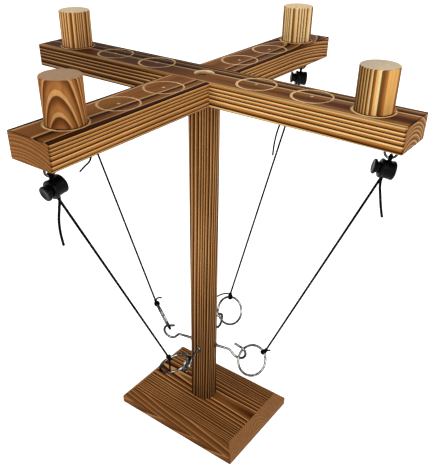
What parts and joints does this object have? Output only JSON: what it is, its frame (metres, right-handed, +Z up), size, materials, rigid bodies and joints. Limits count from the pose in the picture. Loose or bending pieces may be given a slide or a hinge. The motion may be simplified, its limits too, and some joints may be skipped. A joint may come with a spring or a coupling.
{
  "type": "hook and ring toss game",
  "caption": "Tabletop hook and ring game: a post on a base carries crossed arms, each with a ring hung on a string and caught on a hook, and a scoring peg.",
  "frame": {"origin": "under the middle of the base, on the surface that it stands on", "axes": "+Z up, X along the long beam and the base's long side, Y along the cross beam; the picture looks from -Y and +X"},
  "size_m": [0.348, 0.348, 0.39],
  "materials": {
    "burnt_pine": "burnt and brushed pine",
    "steel": "bright zinc plate",
    "spring_steel": "plain",
    "black_plastic": "satin",
    "black_string": "braided"
  },
  "bodies": {
    "frame": {"base_board": "burnt_pine", "post": "burnt_pine", "long_beam": "burnt_pine", "cross_beam": "burnt_pine", "hub_screw": "steel", "base_screw": "steel", "hook_front_right": "steel", "hook_back_right": "steel", "hook_back_left": "steel", "hook_front_left": "steel", "eye_front_right": "steel", "eye_back_right": "steel", "eye_back_left": "steel", "eye_front_left": "steel"},
    "peg_front_right": {"peg_front_right": "burnt_pine"},
    "line_front_right": {"lock_barrel_front_right": "black_plastic", "lock_spring_front_right": "spring_steel", "string_front_right": "black_string"},
    "button_front_right": {"lock_button_front_right": "black_plastic"},
    "ring_front_right": {"ring_front_right": "steel", "knot_front_right": "black_string"},
    "peg_back_right": {"peg_back_right": "burnt_pine"},
    "line_back_right": {"lock_barrel_back_right": "black_plastic", "lock_spring_back_right": "spring_steel", "string_back_right": "black_string"},
    "button_back_right": {"lock_button_back_right": "black_plastic"},
    "ring_back_right": {"ring_back_right": "steel", "knot_back_right": "black_string"},
    "peg_back_left": {"peg_back_left": "burnt_pine"},
    "line_back_left": {"lock_barrel_back_left": "black_plastic", "lock_spring_back_left": "spring_steel", "string_back_left": "black_string"},
    "button_back_left": {"lock_button_back_left": "black_plastic"},
    "ring_back_left": {"ring_back_left": "steel", "knot_back_left": "black_string"},
    "peg_front_left": {"peg_front_left": "burnt_pine"},
    "line_front_left": {"lock_barrel_front_left": "black_plastic", "lock_spring_front_left": "spring_steel", "string_front_left": "black_string"},
    "button_front_left": {"lock_button_front_left": "black_plastic"},
    "ring_front_left": {"ring_front_left": "steel", "knot_front_left": "black_string"}
  },
  "joints": [
    {"name": "peg_front_right_slide", "type": "slide", "parent": "frame", "child": "peg_front_right", "axis": [-1, 0, 0], "range_m": [0, 0.094]},
    {"name": "line_front_right_swing", "type": "hinge", "parent": "frame", "child": "line_front_right", "pos_m": [0.16, 0, 0.33], "axis": [0, 1, 0], "range_deg": [0, 6]},
    {"name": "button_front_right_press", "type": "slide", "parent": "line_front_right", "child": "button_front_right", "axis": [0.8403, 0.5, -0.2095], "range_m": [0, 0.0025], "stiffness_N_per_m": 800, "springref_m": -0.0012},
    {"name": "ring_front_right_turn", "type": "hinge", "parent": "line_front_right", "child": "ring_front_right", "pos_m": [0.06447, 0.01572, 0.09795], "axis": [-0.9251, -0.2701, -0.2668], "range_deg": [0, 12]},
    {"name": "peg_back_right_slide", "type": "slide", "parent": "frame", "child": "peg_back_right", "axis": [0, -1, 0], "range_m": [0, 0.094]},
    {"name": "line_back_right_swing", "type": "hinge", "parent": "frame", "child": "line_back_right", "pos_m": [0, 0.158, 0.33], "axis": [-1, 0, 0], "range_deg": [0, 6]},
    {"name": "button_back_right_press", "type": "slide", "parent": "line_back_right", "child": "button_back_right", "axis": [0.7986, 0.596, -0.0838], "range_m": [0, 0.0025], "stiffness_N_per_m": 800, "springref_m": -0.0012},
    {"name": "ring_back_right_turn", "type": "hinge", "parent": "line_back_right", "child": "ring_back_right", "pos_m": [-0.01352, 0.06537, 0.10363], "axis": [0.1368, -0.7241, -0.676], "range_deg": [0, 12]},
    {"name": "peg_back_left_slide", "type": "slide", "parent": "frame", "child": "peg_back_left", "axis": [1, 0, 0], "range_m": [0, 0.094]},
    {"name": "line_back_left_swing", "type": "hinge", "parent": "frame", "child": "line_back_left", "pos_m": [-0.158, 0, 0.33], "axis": [0, -1, 0], "range_deg": [0, 6]},
    {"name": "button_back_left_press", "type": "slide", "parent": "line_back_left", "child": "button_back_left", "axis": [-0.9192, -0.342, -0.1954], "range_m": [0, 0.0025], "stiffness_N_per_m": 800, "springref_m": -0.0012},
    {"name": "ring_back_left_turn", "type": "hinge", "parent": "line_back_left", "child": "ring_back_left", "pos_m": [-0.05799, -0.00671, 0.1165], "axis": [0.6772, -0.0526, -0.7339], "range_deg": [0, 7]},
    {"name": "peg_front_left_slide", "type": "slide", "parent": "frame", "child": "peg_front_left", "axis": [0, 1, 0], "range_m": [0, 0.094]},
    {"name": "line_front_left_swing", "type": "hinge", "parent": "frame", "child": "line_front_left", "pos_m": [0, -0.1605, 0.33], "axis": [1, 0, 0], "range_deg": [0, 6]},
    {"name": "button_front_left_press", "type": "slide", "parent": "line_front_left", "child": "button_front_left", "axis": [0, 0.9781, 0.2079], "range_m": [0, 0.0025], "stiffness_N_per_m": 800, "springref_m": -0.0012},
    {"name": "ring_front_left_turn", "type": "hinge", "parent": "line_front_left", "child": "ring_front_left", "pos_m": [0.00454, -0.06107, 0.1116], "axis": [0.1425, 0.767, -0.6256], "range_deg": [0, 12]}
  ]
}
